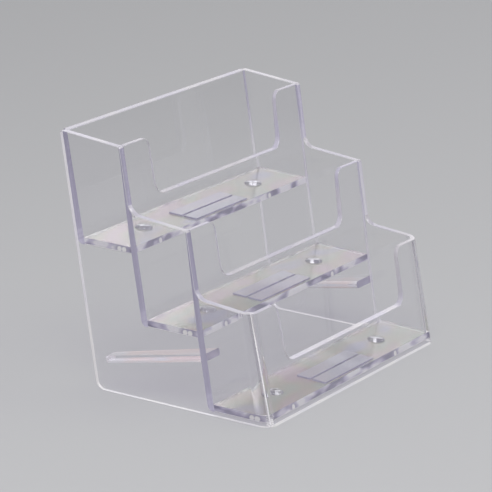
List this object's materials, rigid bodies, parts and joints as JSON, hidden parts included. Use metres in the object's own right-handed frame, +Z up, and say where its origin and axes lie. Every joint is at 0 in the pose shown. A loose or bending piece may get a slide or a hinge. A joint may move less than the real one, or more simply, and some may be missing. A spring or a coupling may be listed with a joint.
{
  "type": "stepped card and leaflet rack",
  "caption": "Clear plastic counter rack whose stepped pockets lean back; each pocket has a wide finger notch in its front wall for taking cards out.",
  "frame": {"origin": "middle of the footprint box, on the surface that the rack stands on", "axes": "+Z up, front with the notches towards -Y, +X to the viewer's right when facing the front"},
  "size_m": [0.0986, 0.0728, 0.0757],
  "materials": {
    "clear_panel": "clear polished styrene or acrylic, edges read pale lavender",
    "clear_wall": "clear polished plastic, thinner at the free lip",
    "pocket_floor": "clear plastic with a faint grey haze and pastel stress tints",
    "clear_rail": "clear plastic with bright edges",
    "floor_detail": "clear plastic, low moulded relief"
  },
  "bodies": {
    "root": {"left_side_panel": "clear_panel", "right_side_panel": "clear_panel", "upper_back_panel": "clear_panel", "upper_front_panel": "clear_wall", "middle_front_panel": "clear_wall", "lower_front_panel": "clear_wall", "upper_floor": "pocket_floor", "middle_floor": "pocket_floor", "lower_floor": "pocket_floor", "left_side_rail": "clear_rail", "right_side_rail": "clear_rail", "upper_floor_bars": "floor_detail", "middle_floor_bars": "floor_detail", "lower_floor_bars": "floor_detail", "upper_floor_studs": "floor_detail", "middle_floor_studs": "floor_detail", "lower_floor_studs": "floor_detail"}
  },
  "joints": []
}
